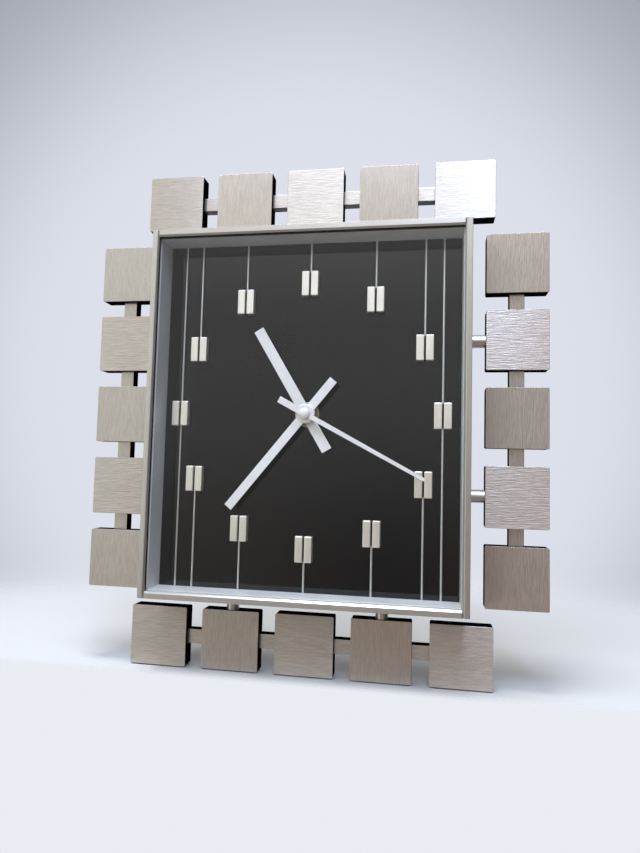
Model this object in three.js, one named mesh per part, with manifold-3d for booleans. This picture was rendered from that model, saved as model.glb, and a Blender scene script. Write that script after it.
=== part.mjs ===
// Wall clock: a glazed metal case with a black dial, framed by four rows of brushed metal blocks.
// Millimetres. +X right and +Z up as seen from the front, +Y towards the wall.
// The origin is where the hands' axis meets the wall plane.

import * as THREE from 'three';
import { mergeVertices } from 'three/addons/utils/BufferGeometryUtils.js';
import Module from 'manifold-3d';

const wasm = await Module();
wasm.setup();

// Case
const caseWidth = 186;
const caseHeight = 216;
const caseDepth = 40;
const caseWall = 2;
const rimWidth = 3;
const rimBevel = 1;
const lipThickness = 1.5;
const glassThickness = 3;
const spacerWall = 2.2;
const dialThickness = 1.2;

// Clearances
const seatGap = 0.1;
const slideGap = 0.3;
const runningGap = 0.25;
const wheelClearance = 0.4;
const cutPast = 1;

// Rows of blocks
const blockSide = 35;
const blockThickness = 10;
const blockGap = 10;
const blocksPerRow = 5;
const blockCornerRadius = 1.2;
const blockEdgeBevel = 0.5;
const rowGap = 9.5;
const wallToBlocks = 4.4;
const railWidth = 8.5;
const railThickness = 6.5;
const railEndReach = 8;
const pinRadius = 3.75;
const pinSink = 1;
const pinColumns = [-1, 1];

// Hour indices
const hoursOnDial = 12;
const indexToWall = 5.2;
const indexWidth = 10;
const indexHeight = 15;
const indexThickness = 4;
const indexBevel = 0.6;
const grooveWidth = 1;
const grooveDepth = 1.6;
const rodRadius = 0.7;

// Hands
const handThickness = 0.6;
const hourReach = 58.5;
const hourTail = 24.5;
const hourWidth = 6.2;
const hourHubRadius = 5.2;
const hourAngle = 329;
const hourToMinute = 2.05;
const minuteReach = 71;
const minuteTail = 25.5;
const minuteWidth = 5.1;
const minuteHubRadius = 5.7;
const minuteHubRise = 0.6;
const minuteAngle = 219;
const minuteToSeconds = 0.55;
const secondsThickness = 0.4;
const secondsReach = 77.6;
const secondsTail = 17.5;
const secondsTailWidth = 3.9;
const secondsRootWidth = 2.8;
const secondsTipWidth = 1.9;
const secondsAngle = 118;
const capRadius = 3.2;
const capHeight = 1.7;
const domeSteps = 3;
const colletWall = 1.1;
const colletDrop = 0.35;

// Arbors and bush, each one running inside the next
const secondsArborRadius = 0.75;
const minuteArborWall = 0.55;
const hourPipeWall = 0.7;
const bushWall = 1.2;
const bushRise = 3.9;
const nutRadius = 7.4;
const nutChamfer = 0.4;
const nutThickness = 2;
const thinArborRadius = 0.6;
const settingArborRadius = 1.2;

// Movement
const movementWall = 1.5;
const movementFloor = 1.4;
const bayFloor = 0.8;
const coverThickness = 1.4;
const coverToPanel = 1.2;
const batteryRadius = 7.1;
const batteryLength = 48.5;
const batteryNubRadius = 2.7;
const batteryNubLength = 1.2;
const contactRoom = 3.3;
const bayClearance = 0.4;
const bayWall = 1;
const layerStart = 0.5;
const layerEnd = 1.5;
const wheelThickness = 0.9;
const bridgeThickness = 0.5;
const bridgeMargin = 2.2;
const knobRadius = 5;
const knobRise = 0.4;
const rotorMagnetRadius = 3.4;
const statorBoreGap = 0.6;
const statorWidth = 11;
const coilRadius = 3;
const coilLength = 24;
const coilClearance = 2.4;
const boardThickness = 1;
const boardDepth = 8;

// Wheel train: teeth, distance between the two axes and direction of the second axis in degrees
const cannonTeeth = 10;
const motionTeeth = 30;
const motionPinionTeeth = 8;
const hourTeeth = 32;
const settingDistance = 12;
const settingDirection = 135;
const secondsPinionTeeth = 6;
const thirdTeeth = 45;
const thirdPinionTeeth = 6;
const clutchTeeth = 48;
const thirdDistance = 11;
const thirdDirection = 45;
const stepPinionTeeth = 6;
const secondsTeeth = 30;
const stepDistance = 10;
const stepDirection = -8;
const rotorPinionTeeth = 6;
const stepTeeth = 36;
const rotorDistance = 9;
const rotorDirection = 30;
const addendum = 0.75;
const dedendum = 1;
const toothRootShare = 0.26;
const toothTipShare = 0.11;

// Back panel
const panelThickness = 1.5;
const trayWall = 1.5;
const windowMargin = 1.5;
const knobHoleGap = 2.5;
const keyholeHeight = 84;
const keyholeRadius = 4.5;
const keyholeSlotWidth = 4.6;
const keyholeSlotLength = 9;

// Sides of round pieces
const roundSides = 20;
const wideSides = 24;
const pinSides = 16;
const thinSides = 12;
const wireSides = 8;

// Layers of the wheel train, counted from the dial
const hourLayer = 0;
const motionLayer = 1;
const clutchLayer = 2;
const thirdLayer = 3;
const secondsLayer = 4;
const stepLayer = 5;
const layerPitch = wheelThickness + bridgeThickness + 2 * runningGap;
const chamberDepth = layerStart + stepLayer * layerPitch + wheelThickness + layerEnd;

// Places along Y: the dial and the movement are stacked on the back panel
const frontY = -caseDepth;
const lipBackY = frontY + lipThickness;
const glassBackY = lipBackY + seatGap + glassThickness;
const coverBackY = -(panelThickness + coverToPanel);
const coverFrontY = coverBackY - coverThickness;
const housingBackY = coverFrontY - seatGap;
const chamberFrontY = coverFrontY - chamberDepth;
const housingFrontY = chamberFrontY - movementFloor;
const dialBackY = housingFrontY - seatGap;
const dialFrontY = dialBackY - dialThickness;
const blockBackY = -wallToBlocks;
const blockFrontY = blockBackY - blockThickness;
const aboveDial = (height) => dialFrontY - height;
const layerY = (layer) => chamberFrontY + layerStart + layer * layerPitch;

// Arbors and pipes from the middle outwards
const minuteArborBore = secondsArborRadius + runningGap;
const minuteArborRadius = minuteArborBore + minuteArborWall;
const hourPipeBore = minuteArborRadius + runningGap;
const hourPipeRadius = hourPipeBore + hourPipeWall;
const bushBore = hourPipeRadius + slideGap;
const bushRadius = bushBore + bushWall;

// Heights of the hands' backs above the dial
const hourLift = bushRise + runningGap + colletDrop;
const minuteLift = hourLift + handThickness + hourToMinute + colletDrop;
const secondsLift = minuteLift + handThickness + minuteHubRise + minuteToSeconds + colletDrop;

// Half sizes inside the case
const innerHalfWidth = caseWidth / 2 - caseWall - slideGap;
const innerHalfHeight = caseHeight / 2 - caseWall - slideGap;
const dialHalfWidth = innerHalfWidth - spacerWall;
const dialHalfHeight = innerHalfHeight - spacerWall;
const indexCircle = dialHalfWidth - indexToWall - indexWidth / 2;
const lipWidth = rimWidth + rimBevel;
const blockPitch = blockSide + blockGap;

function finish(color, roughness, metalness) {
  return new THREE.MeshStandardMaterial({ color, roughness, metalness });
}

const brushedBlock = finish(0xbab4aa, 0.35, 1);
const satinMetal = finish(0xb5aea2, 0.4, 1);
const paleMetal = finish(0xd8d5cd, 0.35, 1);
const clearGlass = finish(0xe8f0ee, 0.05, 0);
const blackLacquer = finish(0x2b2b2d, 0.5, 0);
const whiteLacquer = finish(0xf2f2f0, 0.4, 0);
const brass = finish(0xa08a4f, 0.35, 1);
const blackPlastic = finish(0x1c1c1d, 0.6, 0);
const paleNylon = finish(0xe6e2d4, 0.5, 0);
const copperWire = finish(0x9c5a32, 0.4, 1);
const cellWrap = finish(0x3c4a58, 0.45, 0.2);

const clock = new THREE.Group();

// Helpers
function addPiece(name, geometry, material, parent = clock) {
  const piece = new THREE.Mesh(geometry, material);
  piece.name = name;
  parent.add(piece);
  return piece;
}

function toSolid(geometry) {
  const bare = geometry.clone();
  bare.deleteAttribute('normal');
  bare.deleteAttribute('uv');
  const merged = mergeVertices(bare, 1e-4);
  const vertProperties = new Float32Array(merged.attributes.position.array);
  const triVerts = new Uint32Array(merged.index.array);
  return new wasm.Manifold(new wasm.Mesh({ numProp: 3, vertProperties, triVerts }));
}

function toGeometry(solid) {
  const mesh = solid.getMesh();
  const geometry = new THREE.BufferGeometry();
  geometry.setAttribute('position', new THREE.BufferAttribute(mesh.vertProperties, 3));
  geometry.setIndex(new THREE.BufferAttribute(mesh.triVerts, 1));
  geometry.computeVertexNormals();
  return geometry;
}

function join(base, ...others) {
  return toGeometry(others.reduce((sum, other) => sum.add(toSolid(other)), toSolid(base)));
}

function cut(base, ...tools) {
  return toGeometry(tools.reduce((rest, tool) => rest.subtract(toSolid(tool)), toSolid(base)));
}

function box([x0, x1], [y0, y1], [z0, z1]) {
  const geometry = new THREE.BoxGeometry(x1 - x0, y1 - y0, z1 - z0);
  return geometry.translate((x0 + x1) / 2, (y0 + y1) / 2, (z0 + z1) / 2);
}

// Plate with an outline seen from the front, from y0 back to y1, with an optional bevel on its edges
function plate(outline, y0, y1, bevel = 0, curveSegments = 3) {
  const geometry = new THREE.ExtrudeGeometry(outline, {
    depth: y1 - y0 - 2 * bevel,
    bevelEnabled: bevel > 0,
    bevelThickness: bevel,
    bevelSize: bevel,
    bevelOffset: -bevel,
    bevelSegments: 1,
    curveSegments,
  });
  return geometry.rotateX(Math.PI / 2).translate(0, y1 - bevel, 0);
}

function rectangle(halfWidth, z0, z1) {
  const outline = new THREE.Shape();
  outline.moveTo(-halfWidth, z0);
  outline.lineTo(halfWidth, z0);
  outline.lineTo(halfWidth, z1);
  outline.lineTo(-halfWidth, z1);
  outline.closePath();
  return outline;
}

function roundHole(radius, at = { x: 0, z: 0 }) {
  const hole = new THREE.Path();
  for (let quarter = 0; quarter < 4; quarter += 1) {
    hole.absarc(at.x, at.z, radius, (quarter * Math.PI) / 2, ((quarter + 1) * Math.PI) / 2);
  }
  return hole;
}

function roundedSquare(side, radius) {
  const half = side / 2;
  const inner = half - radius;
  const outline = new THREE.Shape();
  outline.absarc(inner, inner, radius, 0, Math.PI / 2);
  outline.absarc(-inner, inner, radius, Math.PI / 2, Math.PI);
  outline.absarc(-inner, -inner, radius, Math.PI, Math.PI * 1.5);
  outline.absarc(inner, -inner, radius, Math.PI * 1.5, Math.PI * 2);
  outline.closePath();
  return outline;
}

// Turned piece on an axis along Y, given by its half section as [radius, y] pairs
function turned(section, axis = { x: 0, z: 0 }, segments = roundSides) {
  const points = section.map(([radius, y]) => new THREE.Vector2(radius, y));
  return new THREE.LatheGeometry(points, segments).translate(axis.x, 0, axis.z);
}

function rod(radius, y0, y1, axis, segments) {
  return turned([[0, y0], [radius, y0], [radius, y1], [0, y1]], axis, segments);
}

function polar(distance, degrees, from = { x: 0, z: 0 }) {
  const angle = THREE.MathUtils.degToRad(degrees);
  return { x: from.x + distance * Math.cos(angle), z: from.z + distance * Math.sin(angle) };
}

// Case: uprights run full height, top and bottom members butt between them
function lipSection(outer) {
  const section = new THREE.Shape();
  section.moveTo(outer, frontY);
  section.lineTo(outer, 0);
  section.lineTo(outer - caseWall, 0);
  section.lineTo(outer - caseWall, lipBackY);
  section.lineTo(outer - lipWidth, lipBackY);
  section.lineTo(outer - lipWidth, frontY + rimBevel);
  section.lineTo(outer - rimWidth, frontY);
  section.closePath();
  return section;
}

function member(outer, length) {
  const geometry = new THREE.ExtrudeGeometry(lipSection(outer), { depth: length, bevelEnabled: false });
  return geometry.translate(0, 0, -length / 2);
}

function crossMember() {
  const lipLength = caseWidth - 2 * (lipWidth + seatGap);
  const wallReach = caseWidth / 2 - caseWall - seatGap;
  const half = caseHeight / 2;
  const lip = member(half, lipLength).rotateY(-Math.PI / 2);
  const wall = box([-wallReach, wallReach], [lipBackY + seatGap, 0], [half - caseWall, half]);
  return join(lip, wall);
}

addPiece('case_right', member(caseWidth / 2, caseHeight), satinMetal);
addPiece('case_left', member(caseWidth / 2, caseHeight), satinMetal).rotation.y = Math.PI;
addPiece('case_top', crossMember(), satinMetal);
addPiece('case_bottom', crossMember(), satinMetal).rotation.y = Math.PI;

// Glass, spacer and dial, stacked behind the lip
const innerOutline = () => rectangle(innerHalfWidth, -innerHalfHeight, innerHalfHeight);

function spacerFrame() {
  const outline = innerOutline();
  outline.holes.push(rectangle(dialHalfWidth, -dialHalfHeight, dialHalfHeight));
  return plate(outline, glassBackY + seatGap, dialFrontY - seatGap);
}

function dialPlate() {
  const outline = innerOutline();
  outline.holes.push(roundHole(bushRadius + seatGap));
  return plate(outline, dialFrontY, dialBackY);
}

addPiece('front_glass', plate(innerOutline(), lipBackY + seatGap, glassBackY), clearGlass);
addPiece('dial_spacer', spacerFrame(), satinMetal);
addPiece('dial_plate', dialPlate(), blackLacquer);

// Rows of blocks, each row made above the case and turned to its side of it
const railFrontY = blockBackY - railThickness;
const pinY = (blockFrontY + blockBackY) / 2;

function block(column, isDrilled) {
  const last = (blocksPerRow - 1) / 2;
  const pastEdge = blockSide / 2 + cutPast;
  const grooveStart = column === -last ? -railEndReach - slideGap : -pastEdge;
  const grooveEnd = column === last ? railEndReach + slideGap : pastEdge;
  const grooveSide = railWidth / 2 + seatGap;
  const face = roundedSquare(blockSide, blockCornerRadius);
  const body = plate(face, blockFrontY, blockBackY, blockEdgeBevel, 1);
  const groove = box([grooveStart, grooveEnd], [railFrontY - seatGap, 0], [-grooveSide, grooveSide]);
  if (!isDrilled) {
    return cut(body, groove);
  }
  const holeTop = pinSink + seatGap - railWidth / 2;
  const holeLength = holeTop + pastEdge;
  const holeRadius = pinRadius + seatGap;
  const hole = new THREE.CylinderGeometry(holeRadius, holeRadius, holeLength, pinSides);
  hole.rotateX(Math.PI / 2).translate(0, pinY, holeTop - holeLength / 2);
  return cut(body, groove, hole);
}

function rail(rowCentre, caseHalf) {
  const half = ((blocksPerRow - 1) / 2) * blockPitch + railEndReach;
  const barSpan = [rowCentre - railWidth / 2, rowCentre + railWidth / 2];
  const bar = box([-half, half], [railFrontY, blockBackY], barSpan);
  const pinStart = caseHalf + seatGap;
  const pinEnd = rowCentre - railWidth / 2 + pinSink;
  const pins = pinColumns.map((column) => {
    const pin = new THREE.CylinderGeometry(pinRadius, pinRadius, pinEnd - pinStart, pinSides);
    return pin.rotateX(Math.PI / 2).translate(column * blockPitch, pinY, (pinStart + pinEnd) / 2);
  });
  return join(bar, ...pins);
}

function addRow(side, quarterTurns, caseHalf, countsForward) {
  const row = new THREE.Group();
  const rowCentre = caseHalf + rowGap + blockSide / 2;
  for (let place = 0; place < blocksPerRow; place += 1) {
    const column = place - (blocksPerRow - 1) / 2;
    const number = countsForward ? place + 1 : blocksPerRow - place;
    const geometry = block(column, pinColumns.includes(column));
    const piece = addPiece(`block_${side}_${number}`, geometry, brushedBlock, row);
    piece.position.set(column * blockPitch, 0, rowCentre);
  }
  addPiece(`rail_${side}`, rail(rowCentre, caseHalf), satinMetal, row);
  row.rotation.y = (quarterTurns * Math.PI) / 2;
  clock.add(row);
}

addRow('top', 0, caseHeight / 2, true);
addRow('right', 1, caseWidth / 2, true);
addRow('bottom', 2, caseHeight / 2, false);
addRow('left', 3, caseWidth / 2, false);

// Hour indices: grooved blocks on rods that run along the dial to its edges
function hourIndex(x, z, runsUp, runsDown) {
  const backY = dialFrontY - seatGap;
  const frontFaceY = dialFrontY - indexThickness;
  const outline = rectangle(indexWidth / 2, -indexHeight / 2, indexHeight / 2);
  const body = plate(outline, frontFaceY, backY, indexBevel).translate(x, 0, z);
  const grooveSpan = [x - grooveWidth / 2, x + grooveWidth / 2];
  const grooveReach = indexHeight / 2 + cutPast;
  const grooveRun = [z - grooveReach, z + grooveReach];
  const groove = box(grooveSpan, [frontFaceY - cutPast, frontFaceY + grooveDepth], grooveRun);
  const rodTop = runsUp ? dialHalfHeight - seatGap : z;
  const rodBottom = runsDown ? seatGap - dialHalfHeight : z;
  const wire = new THREE.CylinderGeometry(rodRadius, rodRadius, rodTop - rodBottom, wireSides);
  wire.rotateX(Math.PI / 2).translate(x, backY - rodRadius, (rodTop + rodBottom) / 2);
  return join(cut(body, groove), wire);
}

for (let hour = 1; hour <= hoursOnDial; hour += 1) {
  const place = polar(indexCircle, 90 - hour * (360 / hoursOnDial));
  const isLevel = hour === 3 || hour === 9;
  const isUpper = hour > 9 || hour < 3;
  addPiece(`index_${hour}`, hourIndex(place.x, place.z, isUpper || isLevel, !isUpper), paleMetal);
}

// Hands, made pointing to 12 and turned to the time shown
function addHand(name, geometry, degrees) {
  addPiece(name, geometry, whiteLacquer).rotation.y = THREE.MathUtils.degToRad(degrees);
}

function hourHand() {
  const bore = hourPipeRadius + seatGap;
  const backY = aboveDial(hourLift);
  const faceY = backY - handThickness;
  const bar = plate(rectangle(hourWidth / 2, -hourTail, hourReach), faceY, backY);
  const hub = rod(hourHubRadius, faceY, backY);
  const collet = rod(bore + colletWall, faceY, backY + colletDrop);
  return cut(join(bar, hub, collet), rod(bore, faceY - cutPast, backY + colletDrop + cutPast));
}

function minuteHand() {
  const bore = minuteArborRadius + seatGap;
  const backY = aboveDial(minuteLift);
  const faceY = backY - handThickness;
  const hubFaceY = faceY - minuteHubRise;
  const hubBackY = backY + colletDrop;
  const bar = plate(rectangle(minuteWidth / 2, -minuteTail, minuteReach), faceY, backY);
  const hub = turned([
    [0, hubFaceY],
    [minuteHubRadius - minuteHubRise, hubFaceY],
    [minuteHubRadius, faceY],
    [minuteHubRadius, hubBackY],
    [0, hubBackY],
  ]);
  return cut(join(bar, hub), rod(bore, hubFaceY - cutPast, hubBackY + cutPast));
}

function secondsHand() {
  const backY = aboveDial(secondsLift);
  const faceY = backY - secondsThickness;
  const bore = secondsArborRadius + seatGap;
  const outline = new THREE.Shape();
  outline.moveTo(-secondsTipWidth / 2, secondsReach);
  outline.lineTo(-secondsRootWidth / 2, 0);
  outline.lineTo(-secondsTailWidth / 2, 0);
  outline.lineTo(-secondsTailWidth / 2, -secondsTail);
  outline.lineTo(secondsTailWidth / 2, -secondsTail);
  outline.lineTo(secondsTailWidth / 2, 0);
  outline.lineTo(secondsRootWidth / 2, 0);
  outline.lineTo(secondsTipWidth / 2, secondsReach);
  outline.closePath();
  const socketY = backY - capHeight / 2;
  const dome = Array.from({ length: domeSteps + 1 }, (_, step) => {
    const angle = (step / domeSteps) * (Math.PI / 2);
    return [capRadius * Math.sin(angle), faceY - capHeight * Math.cos(angle)];
  });
  const cap = turned([
    ...dome,
    [capRadius, backY],
    [bore + colletWall, backY + colletDrop],
    [bore, backY + colletDrop],
    [bore, socketY],
    [0, socketY],
  ]);
  const bar = cut(plate(outline, faceY, backY), rod(bore, faceY - cutPast, backY + cutPast));
  return join(bar, cap);
}

addHand('hour_hand', hourHand(), hourAngle);
addHand('minute_hand', minuteHand(), minuteAngle);
addHand('seconds_hand', secondsHand(), secondsAngle);

// Axes of the wheel train, seen from the front
const centre = { x: 0, z: 0 };
const settingAxis = polar(settingDistance, settingDirection);
const thirdAxis = polar(thirdDistance, thirdDirection);
const stepAxis = polar(stepDistance, stepDirection);
const rotorAxis = polar(rotorDistance, rotorDirection, stepAxis);

// Tip and root radius of a wheel that meshes with a mate on another axis
function wheelRadii(distance, teeth, mateTeeth) {
  const toothModule = (2 * distance) / (teeth + mateTeeth);
  const pitchRadius = (toothModule * teeth) / 2;
  return { tip: pitchRadius + addendum * toothModule, root: pitchRadius - dedendum * toothModule };
}

// One toothed wheel of a meshing pair: a tooth, or a gap, points at the other wheel's axis
function toothedWheel(axis, mate, teeth, mateTeeth, layer, pointsTooth) {
  const { tip, root } = wheelRadii(Math.hypot(mate.x - axis.x, mate.z - axis.z), teeth, mateTeeth);
  const step = (2 * Math.PI) / teeth;
  const towardsMate = Math.atan2(mate.z - axis.z, mate.x - axis.x);
  const first = towardsMate + (pointsTooth ? 0 : step / 2);
  const outline = new THREE.Shape();
  for (let tooth = 0; tooth < teeth; tooth += 1) {
    const middle = first + tooth * step;
    const corners = [
      [root, -toothRootShare],
      [tip, -toothTipShare],
      [tip, toothTipShare],
      [root, toothRootShare],
    ];
    corners.forEach(([radius, share], corner) => {
      const angle = middle + share * step;
      const point = [radius * Math.cos(angle), radius * Math.sin(angle)];
      if (tooth === 0 && corner === 0) {
        outline.moveTo(...point);
      } else {
        outline.lineTo(...point);
      }
    });
  }
  outline.closePath();
  const wheel = plate(outline, layerY(layer), layerY(layer) + wheelThickness);
  return wheel.translate(axis.x, 0, axis.z);
}

const arborFrontY = chamberFrontY + seatGap;
const arborBackY = coverFrontY - seatGap;
const bridgeY = layerY(secondsLayer) - runningGap - bridgeThickness;
const bridgeBackY = bridgeY + bridgeThickness;

// Setting side of the train: minute arbor, setting wheel, hour wheel
function minuteArbor() {
  const frontEnd = aboveDial(minuteLift + handThickness);
  const backEnd = layerY(clutchLayer) + wheelThickness + runningGap;
  const arbor = rod(minuteArborRadius, frontEnd, backEnd);
  const pinion = toothedWheel(centre, settingAxis, cannonTeeth, motionTeeth, motionLayer, true);
  return cut(join(arbor, pinion), rod(minuteArborBore, frontEnd - cutPast, backEnd + cutPast));
}

function hourWheel() {
  const frontEnd = aboveDial(hourLift + handThickness);
  const backEnd = layerY(hourLayer) + wheelThickness;
  const wheel = toothedWheel(centre, settingAxis, hourTeeth, motionPinionTeeth, hourLayer, false);
  const pipe = rod(hourPipeRadius, frontEnd, backEnd);
  return cut(join(wheel, pipe), rod(hourPipeBore, frontEnd - cutPast, backEnd + cutPast));
}

function settingWheel() {
  const wheel = toothedWheel(settingAxis, centre, motionTeeth, cannonTeeth, motionLayer, false);
  const pinion = toothedWheel(settingAxis, centre, motionPinionTeeth, hourTeeth, hourLayer, true);
  const arbor = rod(settingArborRadius, arborFrontY, coverBackY, settingAxis, thinSides);
  const knobFrontY = coverBackY - coverThickness / 2;
  const knob = rod(knobRadius, knobFrontY, coverBackY + knobRise, settingAxis, wideSides);
  return join(wheel, pinion, arbor, knob);
}

addPiece('minute_arbor', minuteArbor(), brass);
addPiece('hour_wheel', hourWheel(), paleNylon);
addPiece('setting_wheel', settingWheel(), paleNylon);

// Going side of the train: rotor, step wheel, seconds wheel, third wheel, clutch wheel
function secondsWheel() {
  const frontEnd = aboveDial(secondsLift + secondsThickness);
  const arbor = rod(secondsArborRadius, frontEnd, arborBackY, centre, thinSides);
  const wheel = toothedWheel(centre, stepAxis, secondsTeeth, stepPinionTeeth, secondsLayer, false);
  const pinion = toothedWheel(centre, thirdAxis, secondsPinionTeeth, thirdTeeth, thirdLayer, true);
  return join(arbor, wheel, pinion);
}

function thirdWheel() {
  const arbor = rod(thinArborRadius, arborFrontY, arborBackY, thirdAxis, thinSides);
  const wheel = toothedWheel(thirdAxis, centre, thirdTeeth, secondsPinionTeeth, thirdLayer, false);
  const pinion = toothedWheel(thirdAxis, centre, thirdPinionTeeth, clutchTeeth, clutchLayer, true);
  return join(arbor, wheel, pinion);
}

function stepWheel() {
  const arbor = rod(thinArborRadius, bridgeBackY + seatGap, arborBackY, stepAxis, thinSides);
  const wheel = toothedWheel(stepAxis, rotorAxis, stepTeeth, rotorPinionTeeth, stepLayer, false);
  const pinion = toothedWheel(stepAxis, centre, stepPinionTeeth, secondsTeeth, secondsLayer, true);
  return join(arbor, wheel, pinion);
}

function rotorWheel() {
  const arbor = rod(thinArborRadius, bridgeBackY + seatGap, arborBackY, rotorAxis, thinSides);
  const pinion = toothedWheel(rotorAxis, stepAxis, rotorPinionTeeth, stepTeeth, stepLayer, true);
  const magnetFrontY = layerY(secondsLayer);
  const magnet = rod(rotorMagnetRadius, magnetFrontY, magnetFrontY + wheelThickness, rotorAxis, wideSides);
  return join(arbor, pinion, magnet);
}

function clutchWheel() {
  const wheel = toothedWheel(centre, thirdAxis, clutchTeeth, thirdPinionTeeth, clutchLayer, false);
  const faceY = layerY(clutchLayer);
  const bore = rod(minuteArborRadius + seatGap, faceY - cutPast, faceY + wheelThickness + cutPast);
  return cut(wheel, bore);
}

addPiece('seconds_wheel', secondsWheel(), paleNylon);
addPiece('third_wheel', thirdWheel(), paleNylon);
addPiece('clutch_wheel', clutchWheel(), brass);
addPiece('step_wheel', stepWheel(), paleNylon);
addPiece('rotor', rotorWheel(), paleNylon);

// Movement housing: gear chamber above, battery bay below, threaded bush through the dial
const chamberHalf = (batteryLength + batteryNubLength + contactRoom) / 2;
const movementHalf = chamberHalf + movementWall;
const lowestTip = Math.max(
  wheelRadii(settingDistance, hourTeeth, motionPinionTeeth).tip,
  wheelRadii(thirdDistance, clutchTeeth, thirdPinionTeeth).tip,
  wheelRadii(stepDistance, secondsTeeth, stepPinionTeeth).tip,
  wheelRadii(rotorDistance, stepTeeth, rotorPinionTeeth).tip - stepAxis.z,
);
const thirdTop = thirdAxis.z + wheelRadii(thirdDistance, thirdTeeth, secondsPinionTeeth).tip;
const chamberBottom = -(lowestTip + wheelClearance);
const chamberTop = thirdTop + coilClearance + 2 * coilRadius + slideGap;
const bayWidth = 2 * (batteryRadius + bayClearance);
const bayFrontY = housingFrontY + bayFloor;
const bayTop = chamberBottom - bayWall;
const movementBottom = bayTop - bayWidth - movementWall;
const movementTop = chamberTop + movementWall;
const batteryAxis = { y: bayFrontY + slideGap + batteryRadius, z: bayTop - bayWidth / 2 };

function movementHousing() {
  const outline = rectangle(movementHalf, movementBottom, movementTop);
  const shell = plate(outline, housingFrontY, housingBackY);
  const chamberSpan = [-chamberHalf, chamberHalf];
  const chamber = box(chamberSpan, [chamberFrontY, 0], [chamberBottom, chamberTop]);
  const bay = box(chamberSpan, [bayFrontY, 0], [bayTop - bayWidth, bayTop]);
  const bushFrontY = aboveDial(bushRise);
  const bush = rod(bushRadius, bushFrontY, chamberFrontY - movementFloor / 2, centre, wideSides);
  const bore = rod(bushBore, bushFrontY - cutPast, chamberFrontY + cutPast, centre, wideSides);
  const bridgeSpan = [stepAxis.x - bridgeMargin, chamberHalf + movementWall / 2];
  const bridgeRun = [stepAxis.z - bridgeMargin, rotorAxis.z + bridgeMargin];
  const bridge = box(bridgeSpan, [bridgeY, bridgeBackY], bridgeRun);
  return cut(join(cut(shell, chamber, bay), bush, bridge), bore);
}

function movementCover() {
  const outline = rectangle(movementHalf, bayTop, movementTop);
  outline.holes.push(roundHole(knobRadius + slideGap, settingAxis));
  return plate(outline, coverFrontY, coverBackY);
}

function fixingNut() {
  const frontY = aboveDial(nutThickness + seatGap);
  const backY = aboveDial(seatGap);
  const ring = turned([
    [0, frontY],
    [nutRadius - nutChamfer, frontY],
    [nutRadius, frontY + nutChamfer],
    [nutRadius, backY],
    [0, backY],
  ]);
  return cut(ring, rod(bushRadius + seatGap, frontY - cutPast, backY + cutPast));
}

// Cell lying across the bay, its raised pole to the right
function batteryCell() {
  const half = batteryLength / 2;
  const cell = turned([
    [0, -half],
    [batteryRadius, -half],
    [batteryRadius, half],
    [batteryNubRadius, half],
    [batteryNubRadius, half + batteryNubLength],
    [0, half + batteryNubLength],
  ], centre, wideSides);
  return cell.rotateZ(-Math.PI / 2).translate(0, batteryAxis.y, batteryAxis.z);
}

// Stator plate with the rotor's bore, the coil along the top and the board behind it
function driveCoil() {
  const plateY = [layerY(secondsLayer), layerY(secondsLayer) + wheelThickness];
  const coilZ = chamberTop - slideGap - coilRadius;
  const plateRight = rotorAxis.x + statorWidth / 2;
  const plateLeft = rotorAxis.x - statorWidth / 2;
  const coilY = (plateY[0] + plateY[1]) / 2;
  const stator = box([plateLeft, plateRight], plateY, [rotorAxis.z - statorWidth / 2, coilZ + coilRadius]);
  const boreRadius = rotorMagnetRadius + statorBoreGap;
  const rotorBore = rod(boreRadius, plateY[0] - cutPast, plateY[1] + cutPast, rotorAxis, wideSides);
  const coil = new THREE.CylinderGeometry(coilRadius, coilRadius, coilLength, pinSides);
  coil.rotateZ(Math.PI / 2).translate(plateLeft + slideGap - coilLength / 2, coilY, coilZ);
  const boardLeft = plateLeft - coilLength;
  const boardY = [coilY + coilRadius - boardThickness / 2, coilY + coilRadius + boardThickness / 2];
  const board = box([boardLeft, plateLeft], boardY, [coilZ + coilRadius - boardDepth, coilZ + coilRadius]);
  return join(cut(stator, rotorBore), coil, board);
}

addPiece('movement_housing', movementHousing(), blackPlastic);
addPiece('movement_cover', movementCover(), blackPlastic);
addPiece('fixing_nut', fixingNut(), brass);
addPiece('battery', batteryCell(), cellWrap);
addPiece('drive_coil', driveCoil(), copperWire);

// Back panel: tray that backs up the dial, with battery window, knob hole and keyhole
function backPanel() {
  const wallFrontY = dialBackY + seatGap;
  const tray = plate(innerOutline(), wallFrontY, 0);
  const hollowWidth = innerHalfWidth - trayWall;
  const hollowHeight = innerHalfHeight - trayWall;
  const hollowSpan = [-hollowHeight, hollowHeight];
  const hollow = box([-hollowWidth, hollowWidth], [wallFrontY - cutPast, -panelThickness], hollowSpan);
  const through = [-panelThickness - cutPast, cutPast];
  const windowHalf = movementHalf + windowMargin;
  const windowTop = bayTop + windowMargin;
  const windowBottom = movementBottom - windowMargin;
  const window = box([-windowHalf, windowHalf], through, [windowBottom, windowTop]);
  const knobHole = rod(knobRadius + knobHoleGap, ...through, settingAxis, wideSides);
  const keyAxis = { x: 0, z: keyholeHeight };
  const keyHole = rod(keyholeRadius, ...through, keyAxis, wideSides);
  const slotHalf = keyholeSlotWidth / 2;
  const slotEnd = { x: 0, z: keyholeHeight + keyholeSlotLength };
  const slot = box([-slotHalf, slotHalf], through, [keyAxis.z, slotEnd.z]);
  const slotTop = rod(slotHalf, ...through, slotEnd, pinSides);
  return cut(tray, hollow, window, knobHole, keyHole, slot, slotTop);
}

addPiece('back_panel', backPanel(), blackLacquer);

export default clock;
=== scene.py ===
# Wall clock with brushed metal blocks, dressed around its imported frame. Metres, front towards -Y.
import math

import bmesh
import bpy
from mathutils import Matrix, Vector


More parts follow.
